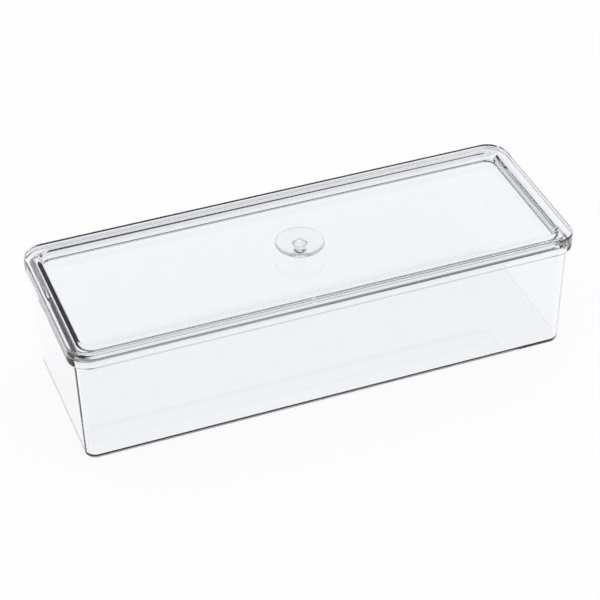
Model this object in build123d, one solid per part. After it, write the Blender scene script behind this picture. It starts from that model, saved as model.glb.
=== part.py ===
from build123d import *
import os

# A long, low box of clear moulded plastic with a lift-off lid and a disc knob.
# All lengths are in millimetres. The tray stands on the plane z = 0, centred on the z axis,
# with its long side along x. Insets are measured inwards from the box's outer outline.

# The outer outline, which the lid's edge and the tray's rim share
box_length = 300.0
box_width = 109.0
corner_radius = 13.0

# The tray: drafted walls, a floor and a thick rim that stands out of the walls
tray_height = 73.0
wall_thickness = 2.2
wall_corner_radius = 8.0
floor_thickness = 2.2
draft_angle = 1.3
base_edge_radius = 3.0
cavity_floor_radius = 1.5
rim_outset = 3.4
rim_height = 5.4
rim_lower_chamfer = 0.8

# The lid: a raised border round a sunken panel, whose walls drop into the tray
lid_edge_height = 4.5
lid_top_radius = 1.2
recess_inset = 9.2
recess_depth = 7.0
recess_corner_radius = 7.0
recess_draft_angle = 5.0
recess_lip_radius = 2.5
recess_floor_radius = 1.0
plug_inset = 6.8
plug_draft_angle = 2.0
panel_thickness = 2.0
panel_edge_chamfer = 0.8
locating_step_height = 2.5

# The knob: a round-edged disc on a short stem, with a spigot through the panel
disc_radius = 14.2
disc_thickness = 2.6
stem_radius = 4.4
stem_length = 5.9
stem_head_flare = 0.8
spigot_radius = 2.5

# Fits
seat_gap = 0.3
locating_clearance = 0.4
spigot_clearance = 0.05
seam_chamfer = 0.5
cut_overrun = 1.0

# Levels worked out from the sizes above
lid_seat_level = tray_height + seat_gap
lid_top_level = lid_seat_level + lid_edge_height
panel_top_level = lid_top_level - recess_depth
panel_underside_level = panel_top_level - panel_thickness
disc_underside_level = panel_top_level + stem_length
knob_top_level = disc_underside_level + disc_thickness


def outline(inset, radius, level):
    """The box's outline moved inwards by an inset, with its own corner radius, at a level."""
    length = box_length - 2 * inset
    width = box_width - 2 * inset
    return Pos(0, 0, level) * RectangleRounded(length, width, radius)


def lowest_edges(shape):
    """The edges round the lowest flat face."""
    return shape.faces().sort_by(Axis.Z).first.edges()


def highest_edges(shape):
    """The edges round the highest flat face."""
    return shape.faces().sort_by(Axis.Z).last.edges()


def make_tray():
    """Drafted shell with a rounded base under a thick rim, whose outer edges are bevelled."""
    body = extrude(outline(rim_outset, wall_corner_radius, tray_height), -tray_height, taper=draft_angle)
    body = fillet(lowest_edges(body), base_edge_radius)

    rim = extrude(outline(0, corner_radius, tray_height), -rim_height)
    rim = chamfer(lowest_edges(rim), rim_lower_chamfer)
    rim = chamfer(highest_edges(rim), seam_chamfer)

    cavity_top = outline(rim_outset + wall_thickness, wall_corner_radius - wall_thickness, tray_height)
    cavity = extrude(cavity_top, floor_thickness - tray_height, taper=draft_angle)
    cavity = fillet(lowest_edges(cavity), cavity_floor_radius)
    mouth = extrude(cavity_top, cut_overrun)
    return body + rim - cavity - mouth


def make_lid():
    """Border plate, locating step and drafted plug, hollowed from above by the drafted recess."""
    border = extrude(outline(0, corner_radius, lid_seat_level), lid_edge_height)
    border = fillet(highest_edges(border), lid_top_radius)
    border = chamfer(lowest_edges(border), seam_chamfer)

    step_inset = rim_outset + wall_thickness + locating_clearance
    step_radius = wall_corner_radius - wall_thickness - locating_clearance
    step = extrude(outline(step_inset, step_radius, lid_seat_level), -locating_step_height)
    step = chamfer(lowest_edges(step), seam_chamfer)

    plug_radius = recess_corner_radius + recess_inset - plug_inset
    plug_depth = lid_seat_level - panel_underside_level
    plug = extrude(outline(plug_inset, plug_radius, lid_seat_level), -plug_depth, taper=plug_draft_angle)
    plug = chamfer(lowest_edges(plug), panel_edge_chamfer)

    recess_mouth = outline(recess_inset, recess_corner_radius, lid_top_level)
    recess = extrude(recess_mouth, -recess_depth, taper=recess_draft_angle)
    recess = fillet(lowest_edges(recess), recess_floor_radius)
    lid = border + step + plug - recess - extrude(recess_mouth, cut_overrun)
    mouth_edges = lid.faces().sort_by(Axis.Z).last.inner_wires()[0].edges()
    lid = fillet(mouth_edges, recess_lip_radius)

    hole_radius = spigot_radius + spigot_clearance
    hole = extrude(Pos(0, 0, panel_underside_level - cut_overrun) * Circle(hole_radius), recess_depth)
    return lid - hole


def make_knob():
    """One turned profile: spigot, stem with a flared head, and a disc with a full-round edge."""
    edge_radius = disc_thickness / 2
    edge_centre = disc_radius - edge_radius
    spigot_bottom = (0, panel_underside_level)
    spigot_corner = (spigot_radius, panel_underside_level)
    spigot_top = (spigot_radius, panel_top_level)
    stem_foot = (stem_radius, panel_top_level)
    stem_head = (stem_radius, disc_underside_level - stem_head_flare)
    flare_end = (stem_radius + stem_head_flare, disc_underside_level)
    edge_low = (edge_centre, disc_underside_level)
    edge_mid = (disc_radius, disc_underside_level + edge_radius)
    edge_high = (edge_centre, knob_top_level)
    axis_top = (0, knob_top_level)

    lower_side = Polyline(spigot_bottom, spigot_corner, spigot_top, stem_foot, stem_head, flare_end, edge_low)
    rounded_edge = ThreePointArc(edge_low, edge_mid, edge_high)
    top = Polyline(edge_high, axis_top, spigot_bottom)
    profile = lower_side + rounded_edge + top
    return revolve(Plane.XZ * make_face(profile), Axis.Z)


def main():
    os.makedirs("parts", exist_ok=True)
    pieces = {"tray": make_tray(), "lid": make_lid(), "knob": make_knob()}
    for name, piece in pieces.items():
        export_step(piece, "parts/" + name + ".step")


main()
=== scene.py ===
import math

import bpy
import numpy as np
from bpy.props import FloatProperty, FloatVectorProperty, IntProperty, PointerProperty
from mathutils import Matrix, Vector


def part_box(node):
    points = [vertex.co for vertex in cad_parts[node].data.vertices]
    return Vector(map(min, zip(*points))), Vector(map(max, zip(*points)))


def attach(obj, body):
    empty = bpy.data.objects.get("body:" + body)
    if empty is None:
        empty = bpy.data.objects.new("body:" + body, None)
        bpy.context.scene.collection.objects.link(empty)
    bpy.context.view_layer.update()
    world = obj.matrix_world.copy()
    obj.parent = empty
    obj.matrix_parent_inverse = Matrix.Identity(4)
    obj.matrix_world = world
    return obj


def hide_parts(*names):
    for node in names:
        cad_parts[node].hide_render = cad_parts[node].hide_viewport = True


bl_info = {
    "name": "Clear storage box",
    "version": (1, 0, 0),
    "blender": (4, 5, 0),
    "location": "3D View > Sidebar > Clear box",
    "description": "Builds the clear tray, its lift-off lid and the disc knob round the packed model",
    "category": "Object",
}

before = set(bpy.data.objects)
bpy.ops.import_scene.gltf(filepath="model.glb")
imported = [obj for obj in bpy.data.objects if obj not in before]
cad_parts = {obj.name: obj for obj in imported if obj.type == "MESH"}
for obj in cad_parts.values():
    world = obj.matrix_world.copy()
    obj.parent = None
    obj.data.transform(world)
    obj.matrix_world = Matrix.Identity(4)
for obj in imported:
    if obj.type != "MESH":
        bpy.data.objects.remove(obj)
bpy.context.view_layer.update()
MM = 0.001

_, tray_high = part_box("tray")
_, lid_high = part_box("lid")
knob_low, knob_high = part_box("knob")
HALF_LENGTH = tray_high.x
HALF_WIDTH = tray_high.y


# Values that a user would change

class OutlineValues(bpy.types.PropertyGroup):
    """The outline that the tray and the lid share, and how finely the surfaces are divided"""

    corner_radius: FloatProperty(
        name="Corner radius", description="Radius of the box's four upright corners", default=13 * MM, unit="LENGTH")
    seam_radius: FloatProperty(
        name="Seam radius", description="Rounding of the edges where lid and tray meet", default=0.3 * MM,
        unit="LENGTH")
    corner_steps: IntProperty(
        name="Corner steps", description="Divisions of each upright corner", default=24, min=4)
    arc_steps: IntProperty(
        name="Arc steps", description="Divisions of each rounded edge of a section", default=6, min=2)
    side_steps: IntProperty(
        name="Side steps", description="Divisions of each straight side", default=12, min=1)


class TrayValues(bpy.types.PropertyGroup):
    """The tray's walls, floor and rim"""

    wall: FloatProperty(
        name="Wall", description="Thickness of the walls", default=2.2 * MM, unit="LENGTH")
    wall_corner_radius: FloatProperty(
        name="Wall corner", description="Outer radius of the walls' upright corners at the top", default=8 * MM,
        unit="LENGTH")
    floor: FloatProperty(
        name="Floor", description="Thickness of the floor", default=2.2 * MM, unit="LENGTH")
    draft: FloatProperty(
        name="Draft", description="Slope of the walls from upright", default=math.radians(1.3), unit="ROTATION")
    base_radius: FloatProperty(
        name="Base radius", description="Rounding of the lower outer edge", default=3 * MM, unit="LENGTH")
    cavity_radius: FloatProperty(
        name="Cavity radius", description="Rounding where the walls meet the floor inside", default=1.5 * MM,
        unit="LENGTH")
    rim_outset: FloatProperty(
        name="Rim outset", description="How far the rim stands out of the walls", default=3.4 * MM, unit="LENGTH")
    rim_height: FloatProperty(
        name="Rim height", description="Height of the rim", default=5.4 * MM, unit="LENGTH")
    rim_lower_radius: FloatProperty(
        name="Rim lower radius", description="Rounding under the rim", default=0.8 * MM, unit="LENGTH")


class LidValues(bpy.types.PropertyGroup):
    """The lid's border, recess, panel and locating step"""

    edge_height: FloatProperty(
        name="Edge height", description="Height of the lid's outer edge", default=4.5 * MM, unit="LENGTH")
    top_radius: FloatProperty(
        name="Top radius", description="Rounding of the upper outer edge", default=1.2 * MM, unit="LENGTH")
    recess_inset: FloatProperty(
        name="Recess inset", description="From the outer face to the mouth of the recess", default=9.2 * MM,
        unit="LENGTH")
    recess_depth: FloatProperty(
        name="Recess depth", description="From the border's top to the sunken panel", default=7 * MM, unit="LENGTH")
    recess_corner_radius: FloatProperty(
        name="Recess corner", description="Radius of the recess's upright corners", default=7 * MM, unit="LENGTH")
    lip_radius: FloatProperty(
        name="Lip radius", description="Rounding of the border's inner edge", default=2.5 * MM, unit="LENGTH")
    plug_inset: FloatProperty(
        name="Plug inset", description="From the outer face to the plug's walls at the seam", default=6.8 * MM,
        unit="LENGTH")
    panel_thickness: FloatProperty(
        name="Panel", description="Thickness of the sunken panel", default=2 * MM, unit="LENGTH")
    panel_edge_radius: FloatProperty(
        name="Panel edge radius", description="Rounding of the panel's lower edge", default=2.5 * MM, unit="LENGTH")
    step_height: FloatProperty(
        name="Step height", description="How far the locating step drops into the tray", default=2.5 * MM,
        unit="LENGTH")
    step_clearance: FloatProperty(
        name="Step clearance", description="Room between the step and the tray", default=0.4 * MM, unit="LENGTH")
    foot_radius: FloatProperty(
        name="Foot radius", description="Rounding of the recess's inner corner", default=1 * MM, unit="LENGTH")
    recess_draft: FloatProperty(
        name="Recess draft", description="Slope of the recess's walls from upright", default=math.radians(5),
        unit="ROTATION")
    plug_draft: FloatProperty(
        name="Plug draft", description="Slope of the plug's outer walls from upright", default=math.radians(2),
        unit="ROTATION")
    hole_radius: FloatProperty(
        name="Hole radius", description="Hole that takes the knob's spigot", default=2.55 * MM, unit="LENGTH")
    hole_edge: FloatProperty(
        name="Hole edge", description="Width of the ring round the hole that holds its edge's rounding",
        default=0.05 * MM, unit="LENGTH")


class KnobValues(bpy.types.PropertyGroup):
    """The knob's disc, stem and spigot"""

    disc_thickness: FloatProperty(
        name="Disc thickness", description="Thickness of the disc, which is also its full-round edge", default=2.6 * MM,
        unit="LENGTH")
    stem_radius: FloatProperty(
        name="Stem radius", description="Radius of the stem at its waist", default=3.2 * MM, unit="LENGTH")
    stem_head_radius: FloatProperty(
        name="Stem head radius", description="Rounding where the stem meets the disc", default=2 * MM, unit="LENGTH")
    stem_foot_radius: FloatProperty(
        name="Stem foot radius", description="Rounding where the stem meets the panel", default=1.2 * MM,
        unit="LENGTH")
    edge_radius: FloatProperty(
        name="Edge radius", description="Rounding of the spigot's ends, and thickness of the foot's flange",
        default=0.05 * MM, unit="LENGTH")
    bond_gap: FloatProperty(
        name="Bond gap", description="Film between the stem's foot and the panel", default=0.01 * MM, unit="LENGTH")
    spigot_clearance: FloatProperty(
        name="Spigot clearance", description="Room round the spigot in the lid's hole", default=0.05 * MM,
        unit="LENGTH")
    arc_steps: IntProperty(
        name="Arc steps", description="Divisions of each rounded edge of the section", default=10, min=2)
    turn_steps: IntProperty(
        name="Turn steps", description="Divisions of one turn about the upright axis", default=128, min=8)


class PlasticValues(bpy.types.PropertyGroup):
    """The finish of the clear moulded plastic"""

    tint: FloatVectorProperty(
        name="Tint", description="Colour that one wall gives to the light behind it", default=(0.972, 0.982, 1.0),
        size=3, subtype="COLOR")
    refraction: FloatProperty(
        name="Refraction", description="Index of refraction", default=1.49, min=1, max=3)
    roughness: FloatProperty(
        name="Roughness", description="Roughness of the polished faces", default=0.004, min=0, max=1, subtype="FACTOR")
    ripple_size: FloatProperty(
        name="Ripple size", description="Width of the slow waves that moulding leaves", default=40 * MM,
        unit="LENGTH")
    ripple_height: FloatProperty(
        name="Ripple height", description="Height of the slow waves at full strength", default=1 * MM, unit="LENGTH")
    ripple_strength: FloatProperty(
        name="Ripple strength", description="How strongly the slow waves bend the light", default=0.02, min=0, max=1,
        subtype="FACTOR")


class StudioValues(bpy.types.PropertyGroup):
    """The camera, the floor and the light"""

    yaw: FloatProperty(
        name="Yaw", description="Camera's turn from the box's short axis", default=math.radians(20.39), unit="ROTATION")
    pitch: FloatProperty(
        name="Pitch", description="Camera's tilt below the horizon", default=math.radians(37.36), unit="ROTATION")
    roll: FloatProperty(
        name="Roll", description="Camera's roll", default=math.radians(-0.853), unit="ROTATION")
    lens: FloatProperty(
        name="Lens", description="Focal length on a 36 mm sensor, in millimetres", default=124.86, min=10)
    place: FloatVectorProperty(
        name="Place", description="Camera's place", default=(-0.3343, -0.8983, 0.7684), size=3, subtype="TRANSLATION",
        unit="LENGTH")
    floor_colour: FloatVectorProperty(
        name="Floor colour", description="Colour of the floor", default=(0.97, 0.97, 0.97), size=3, subtype="COLOR")
    floor_own_light: FloatProperty(
        name="Floor white", description="Share of the floor's white that no shadow reaches", default=0.9, min=0, max=1,
        subtype="FACTOR")
    window_light: FloatProperty(
        name="Window light", description="Brightness of the wide window behind the box, as gloss and glass see it",
        default=0.8, min=0, max=1, subtype="FACTOR")
    front_wall_light: FloatProperty(
        name="Front wall light",
        description="Brightness of the low wall in front of the box, as gloss and glass see it",
        default=0.55, min=0, max=1, subtype="FACTOR")
    back_wall_light: FloatProperty(
        name="Back wall light",
        description="Brightness of the low wall behind the box, as gloss and glass see it",
        default=0.25, min=0, max=1, subtype="FACTOR")
    bounces: IntProperty(
        name="Bounces", description="How many faces a ray of light may cross or strike on its way", default=18, min=1)


# Surfaces

def rounded_section(corners, steps):
    """Points and outward normals of a section whose corners are rounded.

    corners holds rows of (outward place, level, rounding radius, reach). At each corner the arc is the circle of that
    radius that touches both straight stretches, and its normals turn evenly from one stretch's normal to the next.
    reach is the corner radius that the outline would have at outward place zero, and it changes only along straight
    stretches. The solid is on the left of the section's direction.
    Returns rows of (outward place, level, reach, normal outwards, normal upwards).
    """
    corners = np.array(corners, float)
    ways = np.diff(corners[:, :2], axis=0)
    ways /= np.linalg.norm(ways, axis=1)[:, None]
    normals = np.stack([ways[:, 1], -ways[:, 0]], axis=1)
    rows = [np.array([[*corners[0, :2], corners[0, 3], *normals[0]]])]
    for i in range(1, len(corners) - 1):
        place, radius, reach = corners[i, :2], corners[i, 2], corners[i, 3]
        turn = math.atan2(ways[i - 1, 0] * ways[i, 1] - ways[i - 1, 1] * ways[i, 0], ways[i - 1] @ ways[i])
        share = np.linspace(0, 1, steps + 1)[:, None]
        start_angle = math.atan2(normals[i - 1, 1], normals[i - 1, 0])
        angle = start_angle + share * turn
        normal = np.hstack([np.cos(angle), np.sin(angle)])
        side = math.copysign(1, turn)
        tangent_length = radius * math.tan(abs(turn) / 2)
        centre = place - ways[i - 1] * tangent_length - side * normals[i - 1] * radius
        points = centre + side * normal * radius
        rows.append(np.hstack([points, np.full((steps + 1, 1), reach), normal]))
    rows.append(np.array([[*corners[-1, :2], corners[-1, 3], *normals[-1]]]))
    return np.vstack(rows)


def outline_walk(values):
    """One lap of a rounded rectangle as (x sign, y sign, cosine, sine) at each stop.

    A stop at an upright corner has that corner's signs and the arc's angle. Along a straight side the signs slide
    evenly from one corner's to the next, at the side's own angle.
    """
    signs = np.array([[1, 1], [-1, 1], [-1, -1], [1, -1]], float)
    laps = []
    for i in range(4):
        angles = math.pi / 2 * (i + np.linspace(0, 1, values.corner_steps + 1))
        laps.append(np.column_stack([np.tile(signs[i], (len(angles), 1)), np.cos(angles), np.sin(angles)]))
        share = np.linspace(0, 1, values.side_steps + 1)[1:-1, None]
        between = (1 - share) * signs[i] + share * signs[(i + 1) % 4]
        end = np.tile(laps[-1][-1, 2:], (len(between), 1))
        laps.append(np.hstack([between, end]))
    return np.vstack(laps)


def carry_round(section, walk):
    """Carries a section round the box's outline.

    At outward place d with reach R, the outline has half sizes HALF_LENGTH + d and HALF_WIDTH + d and corner radius
    R + d. A stop lies at its signs times the corner's centre, plus the radius along the stop's angle. The normal is
    the section's own, turned to that angle. Returns points and normals as arrays of (rows, stops, 3).
    """
    outward, level, reach, normal_out, normal_up = (column[:, None] for column in section.T)
    sign_x, sign_y, cosine, sine = (column[None, :] for column in walk.T)
    radius = reach + outward
    x = (HALF_LENGTH + outward - radius) * sign_x + radius * cosine
    y = (HALF_WIDTH + outward - radius) * sign_y + radius * sine
    z = level + 0 * x
    points = np.stack([x, y, z], axis=-1)
    normals = np.stack([normal_out * cosine, normal_out * sine, normal_up + 0 * x], axis=-1)
    return points, normals


def turn_round(section, angles):
    """Turns a section about the upright axis: a point at radius r and angle a lies at (r cos a, r sin a)."""
    radius, level, normal_out, normal_up = (section[:, i][:, None] for i in (0, 1, 3, 4))
    cosine, sine = np.cos(angles)[None, :], np.sin(angles)[None, :]
    points = np.stack([radius * cosine, radius * sine, level + 0 * radius * cosine], axis=-1)
    normals = np.stack([normal_out * cosine, normal_out * sine, normal_up + 0 * radius * cosine], axis=-1)
    return points, normals


def grid_faces(rows, stops, closed_rows=False):
    """Four-sided faces between neighbouring rows and stops. The stops close on themselves, and the rows may too."""
    last = rows if closed_rows else rows - 1
    low = np.arange(last)[:, None]
    high = (low + 1) % rows
    here = np.arange(stops)[None, :]
    there = (here + 1) % stops
    faces = np.stack([low * stops + here, low * stops + there, high * stops + there, high * stops + here], axis=-1)
    return faces.reshape(-1, 4)


def make_piece(name, points, normals, caps, closed_rows=False):
    """A mesh object from a grid of points with their normals, with flat many-sided caps over its first and last row."""
    rows, stops = points.shape[:2]
    vertices = points.reshape(-1, 3)
    directions = normals.reshape(-1, 3)
    faces = grid_faces(rows, stops, closed_rows).tolist()
    if caps:
        faces.append(list(range(stops))[::-1])
        faces.append(list(range((rows - 1) * stops, rows * stops)))
    mesh = bpy.data.meshes.new(name)
    mesh.from_pydata(vertices.tolist(), [], faces)
    mesh.validate()
    mesh.polygons.foreach_set("use_smooth", np.ones(len(mesh.polygons), bool))
    mesh.normals_split_custom_set_from_vertices(directions.tolist())
    mesh.update()
    piece = bpy.data.objects.new(name, mesh)
    bpy.context.scene.collection.objects.link(piece)
    return piece


# Material

def clear_plastic(values):
    """Clear moulded plastic: a faint cool tint, and a polished face with the slow waves that moulding leaves."""
    material = bpy.data.materials.get("moulded_clear_plastic")
    if material:
        return material
    material = bpy.data.materials.new("moulded_clear_plastic")
    material.use_nodes = True
    nodes, links = material.node_tree.nodes, material.node_tree.links
    shader = nodes["Principled BSDF"]
    shader.inputs["Base Color"].default_value = (*values.tint, 1)
    shader.inputs["Roughness"].default_value = values.roughness
    shader.inputs["IOR"].default_value = values.refraction
    shader.inputs["Transmission Weight"].default_value = 1
    place = nodes.new("ShaderNodeTexCoord")
    ripple = nodes.new("ShaderNodeTexNoise")
    ripple.inputs["Scale"].default_value = 1 / values.ripple_size
    ripple.inputs["Detail"].default_value = 1
    links.new(place.outputs["Object"], ripple.inputs["Vector"])
    bump = nodes.new("ShaderNodeBump")
    bump.inputs["Strength"].default_value = values.ripple_strength
    bump.inputs["Distance"].default_value = values.ripple_height
    links.new(ripple.outputs["Fac"], bump.inputs["Height"])
    links.new(bump.outputs["Normal"], shader.inputs["Normal"])
    return material


def finish_piece(piece, body, node):
    """Puts the plastic on a piece, and lets it ride on its body in place of its node."""
    piece.data.materials.append(clear_plastic(bpy.context.scene.clear_box_plastic))
    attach(piece, body)
    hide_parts(node)


# Operators

class BuildTray(bpy.types.Operator):
    """Builds the tray: drafted walls, rounded base and a thick rim"""

    bl_idname = "clear_box.build_tray"
    bl_label = "Build tray"

    def execute(self, context):
        tray, outline = context.scene.clear_box_tray, context.scene.clear_box_outline
        top = tray_high.z
        slope = math.tan(tray.draft)
        reach = outline.corner_radius
        rim_bottom = top - tray.rim_height
        wall_outer = -tray.rim_outset
        wall_inner = wall_outer - tray.wall
        wall_reach = tray.wall_corner_radius + tray.rim_outset
        cap_corner_radius = 1.5 * MM
        cap = cap_corner_radius - wall_reach
        section = rounded_section([
            (cap, 0, 0, wall_reach),
            (wall_outer - slope * top, 0, tray.base_radius, wall_reach),
            (wall_outer - slope * tray.rim_height, rim_bottom, outline.seam_radius, wall_reach),
            (0, rim_bottom, tray.rim_lower_radius, reach),
            (0, top, outline.seam_radius, reach),
            (wall_inner, top, outline.seam_radius, wall_reach),
            (wall_inner - slope * (top - tray.floor), tray.floor, tray.cavity_radius, wall_reach),
            (cap, tray.floor, 0, wall_reach),
        ], outline.arc_steps)
        points, normals = carry_round(section, outline_walk(outline))
        finish_piece(make_piece("clear_tray", points, normals, caps=True), "tray", "tray")
        return {"FINISHED"}


class BuildLid(bpy.types.Operator):
    """Builds the lid: raised border, rounded lip, sunken panel with its hole, and the step that locates it"""

    bl_idname = "clear_box.build_lid"
    bl_label = "Build lid"

    def execute(self, context):
        scene = context.scene
        lid, tray, outline = scene.clear_box_lid, scene.clear_box_tray, scene.clear_box_outline
        top = lid_high.z
        seat = top - lid.edge_height
        panel_top = top - lid.recess_depth
        panel_bottom = panel_top - lid.panel_thickness
        reach = outline.corner_radius
        step_bottom = seat - lid.step_height
        inner_reach = lid.recess_corner_radius + lid.recess_inset
        wall_reach = tray.wall_corner_radius + tray.rim_outset
        step = -tray.rim_outset - tray.wall - lid.step_clearance
        panel_corner_radius = 2 * MM
        panel_edge = panel_corner_radius - inner_reach
        narrowing = lid.recess_depth * math.tan(lid.recess_draft)
        plug_slope = math.tan(lid.plug_draft)
        section = rounded_section([
            (panel_edge, panel_bottom, 0, inner_reach),
            (-lid.plug_inset - plug_slope * (seat - panel_bottom), panel_bottom, lid.panel_edge_radius, inner_reach),
            (-lid.plug_inset - plug_slope * lid.step_height, step_bottom, outline.seam_radius / 2, inner_reach),
            (step, step_bottom, outline.seam_radius, wall_reach),
            (step, seat, outline.seam_radius, wall_reach),
            (0, seat, outline.seam_radius, reach),
            (0, top, lid.top_radius, reach),
            (-lid.recess_inset, top, lid.lip_radius, inner_reach),
            (-lid.recess_inset - narrowing, panel_top, lid.foot_radius, inner_reach),
            (panel_edge, panel_top, 0, inner_reach),
        ], outline.arc_steps)
        points, normals = carry_round(section, outline_walk(outline))
        angles = np.arctan2(points[0, :, 1], points[0, :, 0])
        hole = rounded_section([
            (lid.hole_radius + lid.hole_edge, panel_top, 0, 0),
            (lid.hole_radius, panel_top, lid.hole_edge / 2, 0),
            (lid.hole_radius, panel_bottom, lid.hole_edge / 2, 0),
            (lid.hole_radius + lid.hole_edge, panel_bottom, 0, 0),
        ], outline.arc_steps)
        hole_points, hole_normals = turn_round(hole, angles)
        points = np.concatenate([points, hole_points])
        normals = np.concatenate([normals, hole_normals])
        piece = make_piece("clear_lid", points, normals, caps=False, closed_rows=True)
        finish_piece(piece, "lid", "lid")
        return {"FINISHED"}


class BuildKnob(bpy.types.Operator):
    """Builds the knob: a disc with a full-round edge on a short stem, with its spigot"""

    bl_idname = "clear_box.build_knob"
    bl_label = "Build knob"

    def execute(self, context):
        knob, lid = context.scene.clear_box_knob, context.scene.clear_box_lid
        axis_cap = 0.1 * MM
        spigot = lid.hole_radius - knob.spigot_clearance
        foot = lid_high.z - lid.recess_depth + knob.bond_gap
        # The rounding at the stem's foot ends on a thin flange, so that it has no knife edge
        flange = knob.stem_radius + knob.stem_foot_radius + knob.edge_radius
        flange_edge = 0.4 * knob.edge_radius
        underside = knob_high.z - knob.disc_thickness
        disc = knob_high.x
        # Just under half the thickness, so that the two arcs of the disc's edge stay apart
        edge = knob.disc_thickness / 2 * 0.999
        section = rounded_section([
            (axis_cap, knob_low.z, 0, 0),
            (spigot, knob_low.z, knob.edge_radius, 0),
            (spigot, foot, knob.edge_radius, 0),
            (flange, foot, flange_edge, 0),
            (flange, foot + knob.edge_radius, flange_edge, 0),
            (knob.stem_radius, foot + knob.edge_radius, knob.stem_foot_radius, 0),
            (knob.stem_radius, underside, knob.stem_head_radius, 0),
            (disc, underside, edge, 0),
            (disc, knob_high.z, edge, 0),
            (axis_cap, knob_high.z, 0, 0),
        ], knob.arc_steps)
        angles = np.linspace(0, 2 * math.pi, knob.turn_steps + 1)[:-1]
        points, normals = turn_round(section, angles)
        finish_piece(make_piece("clear_knob", points, normals, caps=True), "lid", "knob")
        return {"FINISHED"}


class SetStudio(bpy.types.Operator):
    """Sets the pale floor, the soft light and the camera"""

    bl_idname = "clear_box.set_studio"
    bl_label = "Set studio"

    def execute(self, context):
        scene = context.scene
        studio = scene.clear_box_studio
        add_floor(studio)
        add_world(studio)
        add_camera(studio)
        scene.view_settings.view_transform = "Standard"
        scene.cycles.max_bounces = studio.bounces
        scene.cycles.transmission_bounces = studio.bounces
        scene.cycles.glossy_bounces = studio.bounces
        return {"FINISHED"}


# Stage

def add_floor(studio):
    """A wide pale floor, seen as white by the camera and by what the plastic bends or mirrors.

    It lies a hair below the tray, so that their faces don't coincide.
    """
    half, level = 6.0, -0.05 * MM
    corners = [(-half, -half, level), (half, -half, level), (half, half, level), (-half, half, level)]
    mesh = bpy.data.meshes.new("floor")
    mesh.from_pydata(corners, [], [(0, 1, 2, 3)])
    floor = bpy.data.objects.new("floor", mesh)
    bpy.context.scene.collection.objects.link(floor)
    material = bpy.data.materials.new("pale_floor")
    material.use_nodes = True
    nodes, links = material.node_tree.nodes, material.node_tree.links
    nodes.remove(nodes["Principled BSDF"])
    path = nodes.new("ShaderNodeLightPath")
    matt = nodes.new("ShaderNodeBsdfDiffuse")
    matt.inputs["Color"].default_value = (*studio.floor_colour, 1)
    own = nodes.new("ShaderNodeEmission")
    seen = nodes.new("ShaderNodeMixShader")
    direct = path.outputs["Is Camera Ray"]
    for name in ("Is Glossy Ray", "Is Transmission Ray"):
        direct = joined(nodes, links, "MAXIMUM", direct, path.outputs[name])
    share = joined(nodes, links, "MULTIPLY", direct, studio.floor_own_light)
    links.new(share, seen.inputs["Fac"])
    links.new(matt.outputs[0], seen.inputs[1])
    links.new(own.outputs[0], seen.inputs[2])
    links.new(seen.outputs[0], nodes["Material Output"].inputs["Surface"])
    floor.data.materials.append(material)


def joined(nodes, links, operation, first, second):
    """A math node's result for two sockets or plain numbers."""
    node = nodes.new("ShaderNodeMath")
    node.operation = operation
    for slot, value in zip(node.inputs, (first, second)):
        if isinstance(value, (int, float)):
            slot.default_value = value
        else:
            links.new(value, slot)
    return node.outputs[0]


def eased(nodes, links, value, span, levels):
    """Levels that go smoothly from the first to the second while the value crosses the span."""
    node = nodes.new("ShaderNodeMapRange")
    node.interpolation_type = "SMOOTHSTEP"
    numbers = (*span, *levels)
    for name, number in zip(("From Min", "From Max", "To Min", "To Max"), numbers):
        node.inputs[name].default_value = number
    links.new(value, node.inputs["Value"])
    return node.outputs[0]


def heights(low_angle, high_angle):
    """The upward parts of directions at two angles above the horizon, in degrees."""
    return math.sin(math.radians(low_angle)), math.sin(math.radians(high_angle))


def add_world(studio):
    """Soft white light from all round, which the camera and matt surfaces see evenly.

    Gloss and glass see a studio: a wide window behind the box, from 25 to 58 degrees above the floor, dim low walls
    and an unlit ceiling. Light that has left a matt surface counts as even from then on.
    """
    world = bpy.data.worlds.new("studio")
    bpy.context.scene.world = world
    world.use_nodes = True
    nodes, links = world.node_tree.nodes, world.node_tree.links
    background = nodes["Background"]
    background.inputs["Color"].default_value = (1, 1, 1, 1)
    place = nodes.new("ShaderNodeTexCoord")
    parts = nodes.new("ShaderNodeSeparateXYZ")
    links.new(place.outputs["Generated"], parts.inputs[0])
    # Where each part of the studio begins and ends, upwards and backwards, and its turn to the right
    horizon, wall_top = (-0.01, 0), heights(20, 26)
    window_foot, window_head = heights(22, 28), heights(54, 62)
    front_to_back = (-0.1, 0.3)
    turn_to_right = 0.3
    up = parts.outputs["Z"]
    below = eased(nodes, links, up, horizon, (1, 0))
    sideways = joined(nodes, links, "MULTIPLY", parts.outputs["X"], turn_to_right)
    backward = joined(nodes, links, "ADD", parts.outputs["Y"], sideways)
    wall = eased(nodes, links, backward, front_to_back, (studio.front_wall_light, studio.back_wall_light))
    wall = joined(nodes, links, "MULTIPLY", wall, eased(nodes, links, up, wall_top, (1, 0)))
    window = eased(nodes, links, backward, front_to_back, (0, studio.window_light))
    for span, levels in ((window_foot, (0, 1)), (window_head, (1, 0))):
        window = joined(nodes, links, "MULTIPLY", window, eased(nodes, links, up, span, levels))
    path = nodes.new("ShaderNodeLightPath")
    after_matt = joined(nodes, links, "MINIMUM", path.outputs["Diffuse Depth"], 1)
    strength = path.outputs["Is Camera Ray"]
    for light in (after_matt, below, wall, window):
        strength = joined(nodes, links, "MAXIMUM", strength, light)
    links.new(strength, background.inputs["Strength"])


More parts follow.
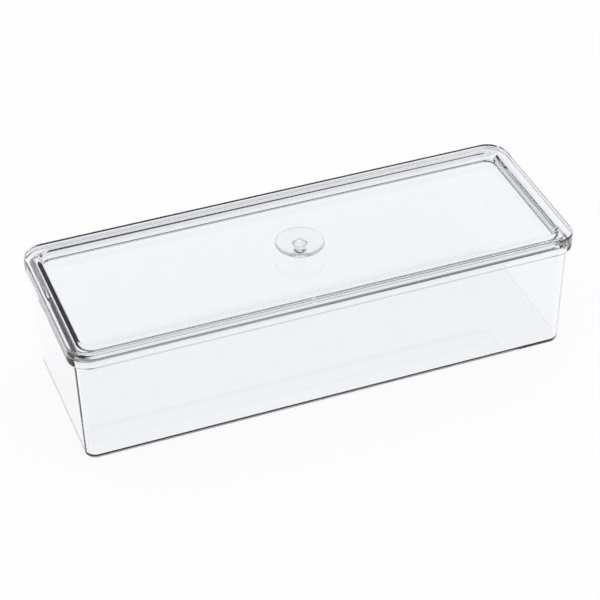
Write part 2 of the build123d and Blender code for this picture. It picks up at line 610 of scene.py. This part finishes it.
def add_camera(studio):
    """The camera, turned by yaw, pitch and roll: forward is (sin yaw cos pitch, cos yaw cos pitch, -sin pitch)."""
    camera = bpy.data.objects.new("camera", bpy.data.cameras.new("camera"))
    bpy.context.scene.collection.objects.link(camera)
    forward = Vector((
        math.sin(studio.yaw) * math.cos(studio.pitch),
        math.cos(studio.yaw) * math.cos(studio.pitch),
        -math.sin(studio.pitch),
    ))
    level_right = Vector((math.cos(studio.yaw), -math.sin(studio.yaw), 0))
    level_up = level_right.cross(forward)
    right = math.cos(studio.roll) * level_right + math.sin(studio.roll) * level_up
    up = right.cross(forward)
    turn = Matrix((right, up, -forward)).transposed()
    camera.matrix_world = Matrix.Translation(studio.place) @ turn.to_4x4()
    camera.data.lens = studio.lens
    camera.data.sensor_width = 36
    camera.data.clip_start = 0.01
    camera.data.clip_end = 100
    bpy.context.scene.camera = camera


# Panel and registration

class ClearBoxPanel(bpy.types.Panel):
    """Lists the box's operators and values"""

    bl_idname = "VIEW3D_PT_clear_box"
    bl_label = "Clear storage box"
    bl_space_type = "VIEW_3D"
    bl_region_type = "UI"
    bl_category = "Clear box"

    def draw(self, context):
        for operator in OPERATORS:
            self.layout.operator(operator.bl_idname)
        for name, group in GROUPS.items():
            box = self.layout.box()
            box.label(text=name.capitalize())
            values = getattr(context.scene, "clear_box_" + name)
            for value in group.__annotations__:
                box.prop(values, value)


GROUPS = {
    "outline": OutlineValues,
    "tray": TrayValues,
    "lid": LidValues,
    "knob": KnobValues,
    "plastic": PlasticValues,
    "studio": StudioValues,
}
OPERATORS = (BuildTray, BuildLid, BuildKnob, SetStudio)


def register():
    """Registers the value groups, the operators and the panel."""
    for group in GROUPS.values():
        bpy.utils.register_class(group)
    for name, group in GROUPS.items():
        setattr(bpy.types.Scene, "clear_box_" + name, PointerProperty(type=group))
    for operator in OPERATORS:
        bpy.utils.register_class(operator)
    bpy.utils.register_class(ClearBoxPanel)


def unregister():
    """Takes back what register did."""
    bpy.utils.unregister_class(ClearBoxPanel)
    for operator in reversed(OPERATORS):
        bpy.utils.unregister_class(operator)
    for name in GROUPS:
        delattr(bpy.types.Scene, "clear_box_" + name)
    for group in reversed(list(GROUPS.values())):
        bpy.utils.unregister_class(group)


def main():
    """Registers the add-on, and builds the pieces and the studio."""
    register()
    bpy.ops.clear_box.build_tray()
    bpy.ops.clear_box.build_lid()
    bpy.ops.clear_box.build_knob()
    bpy.ops.clear_box.set_studio()


if __name__ == "__main__":
    main()
